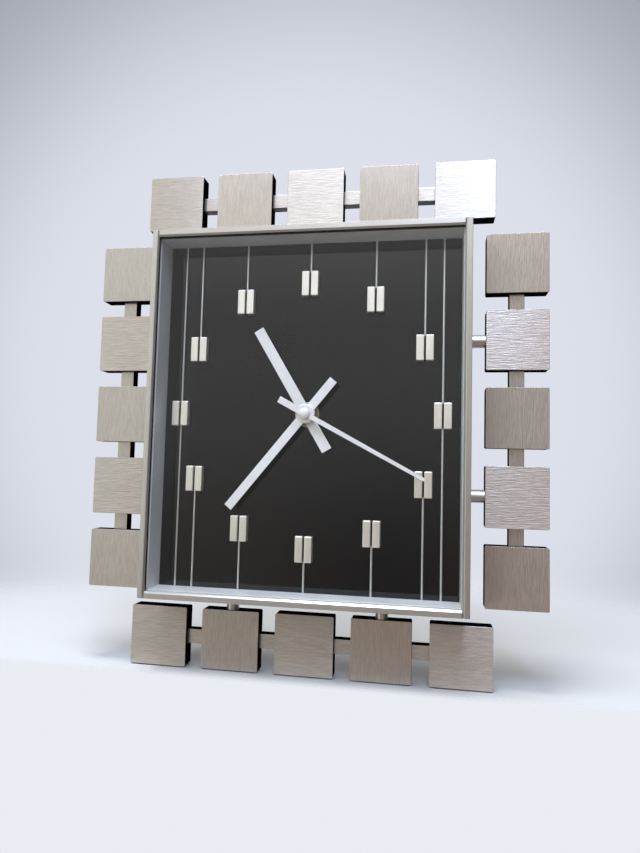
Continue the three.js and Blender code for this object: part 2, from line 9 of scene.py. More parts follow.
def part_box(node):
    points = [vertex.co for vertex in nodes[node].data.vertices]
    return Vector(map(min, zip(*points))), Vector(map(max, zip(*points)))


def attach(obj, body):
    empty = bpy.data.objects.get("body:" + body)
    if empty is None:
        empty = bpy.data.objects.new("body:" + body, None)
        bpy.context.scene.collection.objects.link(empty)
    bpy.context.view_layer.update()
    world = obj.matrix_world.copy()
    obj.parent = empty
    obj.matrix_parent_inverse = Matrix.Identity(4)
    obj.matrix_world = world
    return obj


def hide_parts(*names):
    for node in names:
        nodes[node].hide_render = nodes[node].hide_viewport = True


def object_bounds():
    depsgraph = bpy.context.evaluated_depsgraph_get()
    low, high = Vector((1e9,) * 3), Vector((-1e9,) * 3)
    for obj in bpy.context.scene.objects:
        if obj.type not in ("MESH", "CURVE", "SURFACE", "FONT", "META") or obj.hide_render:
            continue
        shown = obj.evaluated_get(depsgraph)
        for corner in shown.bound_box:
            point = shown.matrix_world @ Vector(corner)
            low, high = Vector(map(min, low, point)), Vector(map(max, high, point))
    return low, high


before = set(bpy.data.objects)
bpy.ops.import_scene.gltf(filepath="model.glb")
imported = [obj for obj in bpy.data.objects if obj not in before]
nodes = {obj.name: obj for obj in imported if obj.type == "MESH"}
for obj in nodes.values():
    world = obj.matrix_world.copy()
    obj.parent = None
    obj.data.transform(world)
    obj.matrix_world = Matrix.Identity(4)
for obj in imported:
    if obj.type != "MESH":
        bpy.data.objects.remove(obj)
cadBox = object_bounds()
scene = bpy.context.scene
mm = 0.001
quarterTurn = math.pi / 2
sides = ("top", "right", "bottom", "left")   # each a quarter turn clockwise from the one before
print("frame loaded with", len(nodes), "nodes")


def lengths(**sizes):
    # sizes are given in millimetres
    return {name: size * mm for name, size in sizes.items()}


# Node helpers, for shader trees and geometry trees alike
def feed(tree, socket, value):
    if isinstance(value, bpy.types.NodeSocket):
        tree.links.new(value, socket)
    else:
        # a colour is given without its alpha
        socket.default_value = (*value, 1) if socket.type == "RGBA" else value


def put(tree, kind, values=None, **settings):
    made = tree.nodes.new(kind)
    for name, value in settings.items():
        setattr(made, name, value)
    for key, value in (values or {}).items():
        feed(tree, made.inputs[key], value)
    return made


def out(tree, kind, values=None, **settings):
    return put(tree, kind, values, **settings).outputs[0]


def calc(tree, operation, first, second=0.0, third=0.0):
    return out(tree, "ShaderNodeMath", {0: first, 1: second, 2: third}, operation=operation)


def plus(tree, first, second):
    return calc(tree, "ADD", first, second)


def minus(tree, first, second):
    return calc(tree, "SUBTRACT", first, second)


def times(tree, first, second):
    return calc(tree, "MULTIPLY", first, second)


def vector(tree, x=0.0, y=0.0, z=0.0):
    return out(tree, "ShaderNodeCombineXYZ", {"X": x, "Y": y, "Z": z})


def split(tree, place):
    return put(tree, "ShaderNodeSeparateXYZ", {0: place}).outputs


def ranged(tree, value, low, high, toLow=0.0, toHigh=1.0, kind="LINEAR"):
    limits = {0: value, 1: low, 2: high, 3: toLow, 4: toHigh}
    return out(tree, "ShaderNodeMapRange", limits, interpolation_type=kind)


def eased(tree, value, low, high):
    return ranged(tree, value, low, high, kind="SMOOTHSTEP")


def blended(tree, share, first, second):
    return put(tree, "ShaderNodeMix", {0: share, 6: first, 7: second}, data_type="RGBA").outputs[2]


def noise(tree, place, scale, detail=2.0, roughness=0.5):
    values = {"Vector": place, "Scale": scale, "Detail": detail, "Roughness": roughness}
    return out(tree, "ShaderNodeTexNoise", values)


def bumped(tree, height, strength, distance):
    return out(tree, "ShaderNodeBump", {"Height": height, "Strength": strength, "Distance": distance})


def newGroup(name, kind, inputs, outputs):
    tree = bpy.data.node_groups.new(name, kind)
    for way, sockets in (("INPUT", inputs), ("OUTPUT", outputs)):
        for label, socketKind in sockets.items():
            tree.interface.new_socket(name=label, in_out=way, socket_type=socketKind)
    return tree, put(tree, "NodeGroupInput").outputs, put(tree, "NodeGroupOutput").inputs


# Camera, fitted to the photograph's frame
camera = {
    "place": Vector((69.465, -379.391, -32.36)) * mm,
    "right": Vector((0.98545, 0.16807, 0.02533)), "forward": Vector((-0.16946, 0.98304, 0.07007)),
    "focalPixels": 621.7, "frameHeight": 853, "sensor": 36.0, "nearest": 0.01,
}


def addCamera():
    lens = bpy.data.cameras.new("camera")
    lens.sensor_width = camera["sensor"]
    lens.lens = camera["focalPixels"] * camera["sensor"] / camera["frameHeight"]
    lens.clip_start = camera["nearest"]
    holder = bpy.data.objects.new("camera", lens)
    right = camera["right"].normalized()
    forward = camera["forward"].normalized()
    turn = Matrix((right, right.cross(forward), -forward)).transposed().to_4x4()
    holder.matrix_world = Matrix.Translation(camera["place"]) @ turn
    scene.collection.objects.link(holder)
    scene.camera = holder


addCamera()
scene.view_settings.view_transform = "Standard"
print("camera set")


# Studio: soft room light that is darker low in front, and a pale floor that fades into the background.
# Each colour covers the ones before it where the direction goes from start to end along each of its axes.
rightward = Vector((1, 0, 0))
backward = Vector((0, 1, 0))
upward = Vector((0, 0, 1))
studio = {
    "lowLeft": (0.345, 0.318, 0.29),
    "room": {
        "lowMiddle": ((0.19, 0.173, 0.166), [(rightward, -0.35, -0.04)]),
        "lowRight": ((0.54, 0.3, 0.255), [(rightward, -0.04, 0.3)]),
        "ground": ((0.4, 0.38, 0.37), [(upward, -0.38, -0.55)]),
        "level": ((0.66, 0.64, 0.65), [(upward, -0.2, 0.2)]),
        "high": ((1.44, 1.43, 1.43), [(upward, 0.2, 0.5), (upward, 0.88, 0.62), (backward, -0.1, -0.5)]),
        "leftGlow": ((1.33, 1.46, 1.4), [(Vector((-0.766, -0.643, 0.1)), 0.87, 0.95)]),
        "right": ((0.1, 0.1, 0.1), [(rightward, 0.3, 0.75)]),
        "left": ((0.195, 0.182, 0.175), [(rightward, -0.86, -0.98)]),
        "behind": ((0.33, 0.34, 0.36), [(backward, 0.0, 0.35)]),
    },
    "backEdge": (0.36, 0.385, 0.44),
    "background": {
        "glow": ((0.72, 0.745, 0.83), [(Vector((-0.17, 0.97, 0.12)), 0.76, 0.93)]),
        "floor": ((0.82, 0.84, 0.9), [(upward, -0.13, -0.24)]),
    },
}


def aimedMask(tree, direction, reaches):
    mask = 1.0
    for axis, start, end in reaches:
        aim = put(tree, "ShaderNodeVectorMath", {0: direction, 1: axis.normalized()}, operation="DOT_PRODUCT")
        mask = times(tree, mask, eased(tree, aim.outputs["Value"], start, end))
    return mask


def covered(tree, direction, colour, covers):
    for cover, reaches in covers.values():
        colour = blended(tree, aimedMask(tree, direction, reaches), colour, cover)
    return colour


def addWorld():
    world = bpy.data.worlds.new("studio")
    world.use_nodes = True
    tree = world.node_tree
    tree.nodes.clear()
    direction = put(tree, "ShaderNodeTexCoord").outputs["Generated"]
    room = covered(tree, direction, studio["lowLeft"], studio["room"])
    background = covered(tree, direction, studio["backEdge"], studio["background"])
    behind = aimedMask(tree, direction, studio["room"]["behind"][1])
    path = put(tree, "ShaderNodeLightPath").outputs
    mirrored = calc(tree, "MAXIMUM", path["Is Glossy Ray"], path["Is Transmission Ray"])
    seen = calc(tree, "MAXIMUM", path["Is Camera Ray"], times(tree, mirrored, behind))
    shown = blended(tree, seen, room, background)
    shine = out(tree, "ShaderNodeBackground", {"Color": shown, "Strength": 1.0})
    put(tree, "ShaderNodeOutputWorld", {"Surface": shine})
    scene.world = world


softbox = {
    "over": {
        "place": Vector((-0.07, -0.64, 0.98)), "aim": Vector((0, -0.02, 0)), "size": (0.75, 0.45),
        "power": 7.5, "colour": (0.61, 0.755, 1.02),
    },
    "strip": {
        "place": Vector((0.22, -0.82, 0.82)), "aim": Vector((0.1, -0.02, 0)), "size": (0.14, 0.44),
        "power": 2.35, "colour": (0.47, 0.62, 1.0),
    },
    "top": {
        "place": Vector((-0.08, -0.22, 1.3)), "aim": Vector((0, 0, -0.15)), "size": (0.4, 0.26),
        "power": 11.5, "colour": (0.9, 0.95, 1.0),
    },
}


def addLamps():
    for name, look in softbox.items():
        lamp = bpy.data.lights.new(name, "AREA")
        lamp.shape = "RECTANGLE"
        lamp.size, lamp.size_y = look["size"]
        lamp.energy = look["power"]
        lamp.color = look["colour"]
        holder = bpy.data.objects.new(name, lamp)
        holder.location = look["place"]
        holder.rotation_mode = "QUATERNION"
        holder.rotation_quaternion = (look["aim"] - look["place"]).to_track_quat("-Z", "Y")
        scene.collection.objects.link(holder)


floor = {
    "half": 1.6, "cells": 8, "drop": 0.7 * mm, "pale": (0.69, 0.68, 0.665), "worn": (0.66, 0.65, 0.635),
    "fibre": 900.0, "fibreDetail": 3.0, "rough": 0.8, "shine": 0.2, "bump": 0.15, "bumpDepth": 0.2 * mm,
    "middle": (0.05, 0.02, 0), "reach": (0.52, 0.3, 1.0), "fade": (0.62, 1.05),
    "frontFade": (-0.0155, -0.032),
}


def addFloor():
    shape = bmesh.new()
    bmesh.ops.create_grid(shape, x_segments=floor["cells"], y_segments=floor["cells"], size=floor["half"])
    bmesh.ops.translate(shape, verts=shape.verts, vec=(0, 0, cadBox[0].z - floor["drop"]))
    mesh = bpy.data.meshes.new("floor")
    shape.to_mesh(mesh)
    shape.free()
    made, tree, paper, place = newFinish("paleFloor")
    fibres = noise(tree, place, floor["fibre"], floor["fibreDetail"])
    setShader(tree, paper, {
        "Base Color": blended(tree, fibres, floor["pale"], floor["worn"]),
        "Roughness": floor["rough"], "Specular IOR Level": floor["shine"],
        "Normal": bumped(tree, fibres, floor["bump"], floor["bumpDepth"]),
    })
    values = {"Vector": place, "Location": floor["middle"], "Scale": floor["reach"]}
    scaled = out(tree, "ShaderNodeMapping", values, vector_type="TEXTURE")
    flat = out(tree, "ShaderNodeVectorMath", {0: scaled, 1: (1, 1, 0)}, operation="MULTIPLY")
    far = put(tree, "ShaderNodeVectorMath", {0: flat}, operation="LENGTH").outputs["Value"]
    front = eased(tree, split(tree, place)["Y"], *floor["frontFade"])
    letThrough(tree, paper, calc(tree, "MAXIMUM", eased(tree, far, *floor["fade"]), front))
    mesh.materials.append(made)
    sheet = bpy.data.objects.new("floor", mesh)
    scene.collection.objects.link(sheet)


# Finish helpers
def newFinish(name):
    made = bpy.data.materials.new(name)
    made.use_nodes = True
    tree = made.node_tree
    tree.nodes.clear()
    shader = put(tree, "ShaderNodeBsdfPrincipled")
    put(tree, "ShaderNodeOutputMaterial", {"Surface": shader.outputs[0]})
    return made, tree, shader, put(tree, "ShaderNodeTexCoord").outputs["Object"]


def setShader(tree, shader, values):
    for name, value in values.items():
        feed(tree, shader.inputs[name], value)


def letThrough(tree, shader, share, tint=(1, 1, 1)):
    clear = out(tree, "ShaderNodeBsdfTransparent", {"Color": tint})
    mixed = out(tree, "ShaderNodeMixShader", {0: share, 1: shader.outputs[0], 2: clear})
    output = next(node for node in tree.nodes if node.type == "OUTPUT_MATERIAL")
    tree.links.new(mixed, output.inputs["Surface"])


addWorld()
addLamps()
addFloor()
print("studio set")

# Shared effects
grainScale = {"drift": 240.0, "stroke": 0.6, "fine": 2.3, "patch": 28.0}   # stroke and fine count in strokes
grainInputs = ("strokeLength", "strokeWidth", "wander")
strokeRange = (0.3, 0.7)
patchRange = (0.35, 0.65)
smearing = {"turn": (0, 0.6, 0), "stretch": (1, 1, 0.3), "finer": 2.5, "range": (0.45, 0.75)}
speckling = {"range": (0.52, 0.7), "cellShare": 0.5}


def newEffect(name, inputs, outputs):
    values = {label: "NodeSocketFloat" for label in inputs}
    results = {label: "NodeSocketFloat" for label in outputs}
    return newGroup(name, "ShaderNodeTree", {"place": "NodeSocketVector", **values}, results)


def brushedGrainGroup():
    tree, start, end = newEffect("brushedGrain", grainInputs, ("stroke", "fine", "patch"))
    place = split(tree, start["place"])
    drift = noise(tree, start["place"], grainScale["drift"])
    sideways = calc(tree, "MULTIPLY_ADD", drift, start["wander"], place["Z"])
    along = calc(tree, "DIVIDE", place["X"], start["strokeLength"])
    across = calc(tree, "DIVIDE", sideways, start["strokeWidth"])
    depth = calc(tree, "DIVIDE", place["Y"], start["strokeWidth"])
    stretched = vector(tree, along, depth, across)
    stroke = noise(tree, stretched, grainScale["stroke"])
    fine = noise(tree, stretched, grainScale["fine"], roughness=0.6)
    patch = noise(tree, start["place"], grainScale["patch"])
    tree.links.new(ranged(tree, stroke, *strokeRange), end["stroke"])
    tree.links.new(ranged(tree, fine, *strokeRange), end["fine"])
    tree.links.new(ranged(tree, patch, *patchRange), end["patch"])
    return tree


def softPatchGroup():
    tree, start, end = newEffect("softPatch", ("size",), ("patch", "smear"))
    scale = calc(tree, "DIVIDE", 1.0, start["size"])
    wide = noise(tree, start["place"], scale, detail=3.0, roughness=0.55)
    values = {"Vector": start["place"], "Rotation": smearing["turn"], "Scale": smearing["stretch"]}
    rubbed = out(tree, "ShaderNodeMapping", values)
    smear = noise(tree, rubbed, times(tree, scale, smearing["finer"]), detail=4.0, roughness=0.6)
    tree.links.new(eased(tree, wide, *patchRange), end["patch"])
    tree.links.new(eased(tree, smear, *smearing["range"]), end["smear"])
    return tree


def fineSpeckGroup():
    tree, start, end = newEffect("fineSpeck", ("size",), ("speck", "height"))
    scale = calc(tree, "DIVIDE", 1.0, start["size"])
    grain = noise(tree, start["place"], scale, detail=3.0, roughness=0.65)
    cells = out(tree, "ShaderNodeTexVoronoi", {"Vector": start["place"], "Scale": scale})
    tree.links.new(ranged(tree, grain, *speckling["range"]), end["speck"])
    tree.links.new(calc(tree, "MULTIPLY_ADD", cells, speckling["cellShare"], grain), end["height"])
    return tree


brushedGrain = brushedGrainGroup()
softPatch = softPatchGroup()
fineSpeck = fineSpeckGroup()


def useGroup(tree, group, place, **values):
    return put(tree, "ShaderNodeGroup", {"place": place, **values}, node_tree=group).outputs


# Brushed metal: strokes along one axis, highlights drawn out across them
grainAxes = {"across": (0, 0, 0), "upright": (0, quarterTurn, 0)}
shineAxes = {"across": (0, 0, 1), "upright": (1, 0, 0)}


def brushedFinish(name, direction, look):
    made, tree, shader, place = newFinish(name)
    turned = out(tree, "ShaderNodeMapping", {"Vector": place, "Rotation": grainAxes[direction]})
    grain = useGroup(tree, brushedGrain, turned, **{label: look[label] for label in grainInputs})
    tone = calc(tree, "MULTIPLY_ADD", grain["fine"], look["fineShare"],
                times(tree, grain["stroke"], 1 - look["fineShare"]))
    tone = calc(tree, "MULTIPLY_ADD", minus(tree, grain["patch"], 0.5), look["patchShare"], tone)
    setShader(tree, shader, {
        "Base Color": blended(tree, tone, look["deep"], look["bright"]), "Metallic": look["metal"],
        "Roughness": ranged(tree, tone, 0.0, 1.0, *look["rough"]), "Anisotropic": look["anisotropy"],
        "Tangent": vector(tree, *shineAxes[direction]),
        "Normal": bumped(tree, grain["stroke"], look["bump"], look["bumpDepth"]),
    })
    return made


blockFace = {
    "deep": (0.418, 0.375, 0.328), "bright": (0.63, 0.566, 0.495), "metal": 0.74, "rough": (0.3, 0.38),
    "fineShare": 0.45, "patchShare": 0.1, "anisotropy": 0.9, "bump": 1.0,
    **lengths(strokeLength=4.4, strokeWidth=0.38, wander=0.06),
}
strokeDepths = lengths(top=0.035, right=0.1, bottom=0.04, left=0.06)
caseSatin = {
    "deep": (0.438, 0.411, 0.369), "bright": (0.608, 0.58, 0.523), "metal": 0.85, "rough": (0.28, 0.4),
    "fineShare": 0.6, "patchShare": 0.15, "anisotropy": 0.5, "bump": 0.15,
    **lengths(strokeLength=9, strokeWidth=0.25, wander=0.1, bumpDepth=0.02),
}
indexSatin = {
    "deep": (0.78, 0.72, 0.625), "bright": (0.97, 0.905, 0.79), "metal": 0.85, "rough": (0.3, 0.42),
    "fineShare": 0.5, "patchShare": 0.1, "anisotropy": 0.4, "bump": 0.2,
    **lengths(strokeLength=5, strokeWidth=0.3, wander=0.1, bumpDepth=0.02),
}
rodSatin = dict(indexSatin, deep=(0.55, 0.546, 0.523), bright=(0.74, 0.73, 0.7))
blockFinish = {}
for side, depth in strokeDepths.items():
    look = dict(blockFace, bumpDepth=depth)
    for direction in grainAxes:
        blockFinish[side, direction] = brushedFinish(f"{side}BlocksBrushed-{direction}", direction, look)
satinAcross = brushedFinish("caseSatinAcross", "across", caseSatin)
satinUpright = brushedFinish("caseSatinUpright", "upright", caseSatin)
indexMetal = brushedFinish("indexSatin", "upright", indexSatin)
rodMetal = brushedFinish("rodSatin", "upright", rodSatin)


# Coated and moulded finishes: patchy tone, fine grain in the surface
def coatedFinish(name, look):
    made, tree, shader, place = newFinish(name)
    patch = useGroup(tree, softPatch, place, size=look["patchSize"])
    speck = useGroup(tree, fineSpeck, place, size=look["speckSize"])
    colour = blended(tree, patch["patch"], look["deep"], look["bright"])
    setShader(tree, shader, {
        "Base Color": blended(tree, times(tree, speck["speck"], look["speckShare"]), colour, look["speck"]),
        "Roughness": ranged(tree, patch["smear"], 0.0, 1.0, *look["rough"]), "Metallic": look["metal"],
        "IOR": look["ior"], "Specular IOR Level": look["shine"],
        "Normal": bumped(tree, speck["height"], look["bump"], look["bumpDepth"]),
    })
    return made


plainCoat = {
    "speckSize": 0.3 * mm, "speckShare": 0.3, "metal": 0.0, "ior": 1.5, "shine": 0.5, "bump": 0.1,
    "bumpDepth": 0.01 * mm,
}
coats = {
    "blockSideBlack": {
        "deep": (0.002, 0.002, 0.002), "bright": (0.004, 0.004, 0.004),
        "speck": (0.013, 0.013, 0.014), "patchSize": 12 * mm, "speckSize": 0.6 * mm, "speckShare": 0.5,
        "rough": (0.6, 0.75), "shine": 0.0, "bumpDepth": 0.02 * mm,
    },
    "dialGlossBlack": {
        "deep": (0.0008, 0.0008, 0.0009), "bright": (0.0012, 0.0012, 0.0014),
        "speck": (0.004, 0.004, 0.0045), "patchSize": 60 * mm, "speckSize": 0.5 * mm, "speckShare": 0.2,
        "rough": (0.05, 0.08), "ior": 1.46, "bump": 0.004,
    },
    "handWhiteLacquer": {
        "deep": (0.8, 0.765, 0.73), "bright": (0.86, 0.825, 0.79), "speck": (0.68, 0.66, 0.65),
        "patchSize": 12 * mm, "speckSize": 0.6 * mm, "speckShare": 0.5, "rough": (0.35, 0.5), "bump": 0.12,
        "bumpDepth": 0.02 * mm,
    },
    "spacerSatin": {
        "deep": (0.63, 0.625, 0.615), "bright": (0.7, 0.695, 0.685), "speck": (0.77, 0.765, 0.755),
        "patchSize": 25 * mm, "rough": (0.36, 0.46), "metal": 0.2,
    },
    # brass whose tone is darkened by painted shade, for the nut that sits in the shade of the hands
    "brassWithPaintedShade": {
        "deep": (0.28, 0.27, 0.215), "bright": (0.385, 0.37, 0.29), "speck": (0.5, 0.48, 0.38),
        "patchSize": 4 * mm, "rough": (0.3, 0.45), "metal": 1.0,
    },
    "movementBlackPlastic": {
        "deep": (0.014, 0.014, 0.015), "bright": (0.022, 0.022, 0.023), "speck": (0.04, 0.04, 0.04),
        "patchSize": 15 * mm, "speckSize": 0.5 * mm, "speckShare": 0.35, "rough": (0.45, 0.65), "bump": 0.3,
        "bumpDepth": 0.05 * mm,
    },
    "wheelPaleNylon": {
        "deep": (0.7, 0.67, 0.57), "bright": (0.78, 0.75, 0.66), "speck": (0.6, 0.57, 0.48),
        "patchSize": 6 * mm, "speckSize": 0.4 * mm, "speckShare": 0.25, "rough": (0.35, 0.5),
        "bumpDepth": 0.02 * mm,
    },
    "coilCopper": {
        "deep": (0.42, 0.17, 0.07), "bright": (0.55, 0.25, 0.11), "speck": (0.3, 0.12, 0.05),
        "patchSize": 5 * mm, "speckSize": 0.25 * mm, "speckShare": 0.5, "rough": (0.3, 0.45), "metal": 0.8,
        "bump": 0.2, "bumpDepth": 0.03 * mm,
    },
    "cellWrapGrey": {
        "deep": (0.045, 0.065, 0.09), "bright": (0.06, 0.085, 0.115), "speck": (0.09, 0.12, 0.15),
        "patchSize": 9 * mm, "speckShare": 0.2, "rough": (0.25, 0.4), "bump": 0.05,
    },
    "cellBandPale": {
        "deep": (0.5, 0.52, 0.55), "bright": (0.56, 0.58, 0.6), "speck": (0.42, 0.44, 0.47),
        "patchSize": 9 * mm, "speckShare": 0.2, "rough": (0.25, 0.4), "bump": 0.05,
    },
    "contactSteel": {
        "deep": (0.55, 0.55, 0.54), "bright": (0.68, 0.68, 0.66), "speck": (0.45, 0.44, 0.42),
        "patchSize": 5 * mm, "speckSize": 0.25 * mm, "rough": (0.2, 0.4), "metal": 1.0, "bump": 0.08,
    },
    "panelBlackPaint": {
        "deep": (0.03, 0.03, 0.031), "bright": (0.045, 0.045, 0.047), "speck": (0.08, 0.08, 0.083),
        "patchSize": 35 * mm, "speckSize": 0.7 * mm, "speckShare": 0.4, "rough": (0.5, 0.7), "bump": 0.35,
        "bumpDepth": 0.08 * mm,
    },
}
coat = {name: coatedFinish(name, {**plainCoat, **look}) for name, look in coats.items()}

glass = {"tint": (0.98, 0.99, 0.99), "ior": 1.31, "rough": (0.0, 0.02), "smearSize": 60 * mm}


def glassFinish():
    made, tree, shader, place = newFinish("clearFrontGlass")
    smear = useGroup(tree, softPatch, place, size=glass["smearSize"])["smear"]
    setShader(tree, shader, {
        "Base Color": glass["tint"], "Metallic": 0.0, "Transmission Weight": 1.0, "IOR": glass["ior"],
        "Roughness": ranged(tree, smear, 0.0, 1.0, *glass["rough"]),
    })
    path = put(tree, "ShaderNodeLightPath").outputs
    lampRay = calc(tree, "MAXIMUM", path["Is Shadow Ray"], path["Is Diffuse Ray"])
    letThrough(tree, shader, lampRay, glass["tint"])
    return made


clearGlass = glassFinish()
print("finishes made:", len(bpy.data.materials))

# Mesh helpers
meshLimits = {
    "merge": 1e-7, "weld": 1e-6, "sharp": math.radians(50), "flat": math.radians(1), "edge": math.radians(30),
}
sideLimit = 0.6   # a face whose normal has less of Y than this belongs to the sides


def addPiece(name, form, body, materials=(), replaced=()):
    mesh = closedMesh(name, form) if isinstance(form, bmesh.types.BMesh) else form
    made = bpy.data.objects.new(name, mesh)
    scene.collection.objects.link(made)
    for finish in materials:
        mesh.materials.append(finish)
    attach(made, body)
    if replaced:
        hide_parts(*replaced)


def evened(name, mesh):
    # broad flat faces keep their own direction, and the turn is left to the rounded edges
    mesh.set_sharp_from_angle(angle=meshLimits["sharp"])
    holder = bpy.data.objects.new(name, mesh)
    scene.collection.objects.link(holder)
    even = holder.modifiers.new("even", "WEIGHTED_NORMAL")
    even.keep_sharp = True
    made = baked(holder)
    bpy.data.objects.remove(holder)
    made.name = name
    return made


def baked(holder):
    depsgraph = bpy.context.evaluated_depsgraph_get()
    return bpy.data.meshes.new_from_object(holder.evaluated_get(depsgraph), depsgraph=depsgraph)


def closedMesh(name, shape):
    bmesh.ops.remove_doubles(shape, verts=shape.verts, dist=meshLimits["merge"])
    bmesh.ops.recalc_face_normals(shape, faces=shape.faces)
    mesh = bpy.data.meshes.new(name)
    shape.to_mesh(mesh)
    shape.free()
    return evened(name, mesh)


def addTurned(shape, section, steps, place=Matrix(), finish=0):
    # half section of (radius, y) pairs turned about the Y axis, then put in place
    rows = []
    for radius, y in section:
        angles = [2 * math.pi * step / steps for step in range(steps if radius else 1)]
        points = [Vector((radius * math.cos(angle), y, radius * math.sin(angle))) for angle in angles]
        rows.append([shape.verts.new(place @ point) for point in points])
    for lower, upper in zip(rows, rows[1:]):
        for step in range(steps):
            after = (step + 1) % steps
            corners = [lower[step % len(lower)], lower[after % len(lower)],
                       upper[after % len(upper)], upper[step % len(upper)]]
            face = shape.faces.new(list(dict.fromkeys(corners)))
            face.smooth = True
            face.material_index = finish


def bevelled(shape, edges, width, segments):
    bmesh.ops.bevel(shape, geom=edges, offset=width, offset_type="OFFSET", segments=segments,
                    profile=0.5, affect="EDGES", clamp_overlap=True)


def addPrism(shape, outline, yFront, yBack, rounding, sideFinish=0, backFinish=0):
    before = set(shape.faces)
    front = [shape.verts.new((x, yFront, z)) for x, z in outline]
    back = [shape.verts.new((x, yBack, z)) for x, z in outline]
    faces = [shape.faces.new(front), shape.faces.new(list(reversed(back)))]
    for here, there in zip(range(len(outline)), list(range(1, len(outline))) + [0]):
        faces.append(shape.faces.new([front[here], back[here], back[there], front[there]]))
    bevelled(shape, list({edge for face in faces for edge in face.edges}), rounding, 2)
    for face in set(shape.faces) - before:
        face.normal_update()
        if abs(face.normal.y) < sideLimit:
            face.material_index = sideFinish
        elif face.normal.y > 0:
            face.material_index = backFinish


def rectangle(left, right, low, high):
    return [(left, low), (right, low), (right, high), (left, high)]


def softened(name, width, segments=2):
    shape = bmesh.new()
    shape.from_mesh(nodes[name].data)
    bmesh.ops.remove_doubles(shape, verts=shape.verts, dist=meshLimits["weld"])
    bmesh.ops.dissolve_limit(shape, angle_limit=meshLimits["flat"], verts=shape.verts, edges=shape.edges)
    edges = [edge for edge in shape.edges if edge.is_manifold]
    sharp = [edge for edge in edges if edge.calc_face_angle(0) > meshLimits["edge"]]
    bevelled(shape, sharp, width, segments)
    return shape


def addSoftened(shells):
    for name, (rounding, slot, finish) in shells.items():
        addPiece(name + "_edge", softened(name, rounding), "case", [finish], [name])


def turnedBy(shape, angle):
    bmesh.ops.transform(shape, matrix=Matrix.Rotation(angle, 4, "Y"), verts=shape.verts)


# Geometry tree helpers. A piece's dictionary of values gives its tree's inputs their names and kinds.
socketKinds = {
    float: "NodeSocketFloat", int: "NodeSocketInt", Vector: "NodeSocketVector",
    bpy.types.Material: "NodeSocketMaterial",
}


def newTree(name, values):
    geometry = {"Geometry": "NodeSocketGeometry"}
    inputs = {label: socketKinds[type(value)] for label, value in values.items()}
    tree, start, end = newGroup(name, "GeometryNodeTree", {**geometry, **inputs}, geometry)
    tree.is_modifier = True
    return tree, start, end


def joined(tree, *parts):
    join = put(tree, "GeometryNodeJoinGeometry")
    for part in parts:
        tree.links.new(part, join.inputs[0])
    return join.outputs[0]


def moved(tree, geometry, shift=(0, 0, 0), turn=(0, 0, 0)):
    return out(tree, "GeometryNodeTransform", {"Geometry": geometry, "Translation": shift, "Rotation": turn})


def cube(tree, x, y, z):
    return out(tree, "GeometryNodeMeshCube", {"Size": vector(tree, x, y, z)})


def spread(tree, points, instance, **values):
    return out(tree, "GeometryNodeInstanceOnPoints", {"Points": points, "Instance": instance, **values})


def shaded(tree, geometry, smooth):
    return out(tree, "GeometryNodeSetShadeSmooth", {"Geometry": geometry, "Shade Smooth": smooth})


def marked(tree, geometry, number=0, chosen=True):
    values = {"Geometry": geometry, "Selection": chosen, "Name": "finish", "Value": number}
    return out(tree, "GeometryNodeStoreNamedAttribute", values, data_type="INT", domain="FACE")


def finished(tree, geometry, end, *materials):
    shown = out(tree, "GeometryNodeRealizeInstances", {"Geometry": geometry})
    mark = out(tree, "GeometryNodeInputNamedAttribute", {"Name": "finish"}, data_type="INT")
    for number, material in enumerate(materials):
        chosen = out(tree, "FunctionNodeCompare", {2: mark, 3: number}, data_type="INT", operation="EQUAL")
        values = {"Geometry": shown, "Selection": chosen, "Material": material}
        shown = out(tree, "GeometryNodeSetMaterial", values)
    tree.links.new(shown, end["Geometry"])
    return tree


def layeredSlab(tree, width, height, corner, startY, layers, cornerPoints=3):
    # rounded rectangle facing -Y, drawn forward layer by layer; a layer is how far, then the inset at its end
    outline = out(tree, "GeometryNodeCurvePrimitiveQuadrilateral", {"Width": width, "Height": height})
    values = {"Curve": outline, "Radius": corner, "Count": cornerPoints}
    rounded = out(tree, "GeometryNodeFilletCurve", values, mode="POLY")
    face = out(tree, "GeometryNodeFillCurve", {"Curve": rounded}, mode="NGONS")
    mesh = moved(tree, face, vector(tree, 0.0, startY, 0.0), (quarterTurn, 0, 0))
    top = None
    inset = 0.0
    for advance, nextInset in layers:
        if top is not None:
            values = {"Mesh": mesh, "Selection": top, "Offset Scale": advance, "Individual": False}
            drawn = put(tree, "GeometryNodeExtrudeMesh", values, mode="FACES").outputs
            mesh, top = drawn["Mesh"], drawn["Top"]
        for size, axis in ((width, (1, 0, 0)), (height, (0, 0, 1))):
            before = minus(tree, size, times(tree, inset, 2.0))
            after = minus(tree, size, times(tree, nextInset, 2.0))
            values = {"Geometry": mesh, "Scale": calc(tree, "DIVIDE", after, before), "Axis": axis}
            if top is not None:
                values["Selection"] = top
            mesh = out(tree, "GeometryNodeScaleElements", values, domain="FACE", scale_mode="SINGLE_AXIS")
        if top is None:
            back = out(tree, "GeometryNodeFlipFaces", {"Mesh": mesh})
            top = out(tree, "FunctionNodeInputBool", boolean=True)
        inset = nextInset
    both = joined(tree, back, mesh)
    return out(tree, "GeometryNodeMergeByDistance", {"Geometry": both, "Distance": meshLimits["weld"]})


def roundedLayers(tree, thickness, radius, steps):
    # layers of a plain slab whose front edge is rounded over a quarter circle
    layers = [(0.0, 0.0), (minus(tree, thickness, radius), 0.0)]
    angles = [quarterTurn * step / steps for step in range(steps + 1)]
    for before, angle in zip(angles, angles[1:]):
        advance = times(tree, radius, math.sin(angle) - math.sin(before))
        layers.append((advance, times(tree, radius, 1 - math.cos(angle))))
    return layers


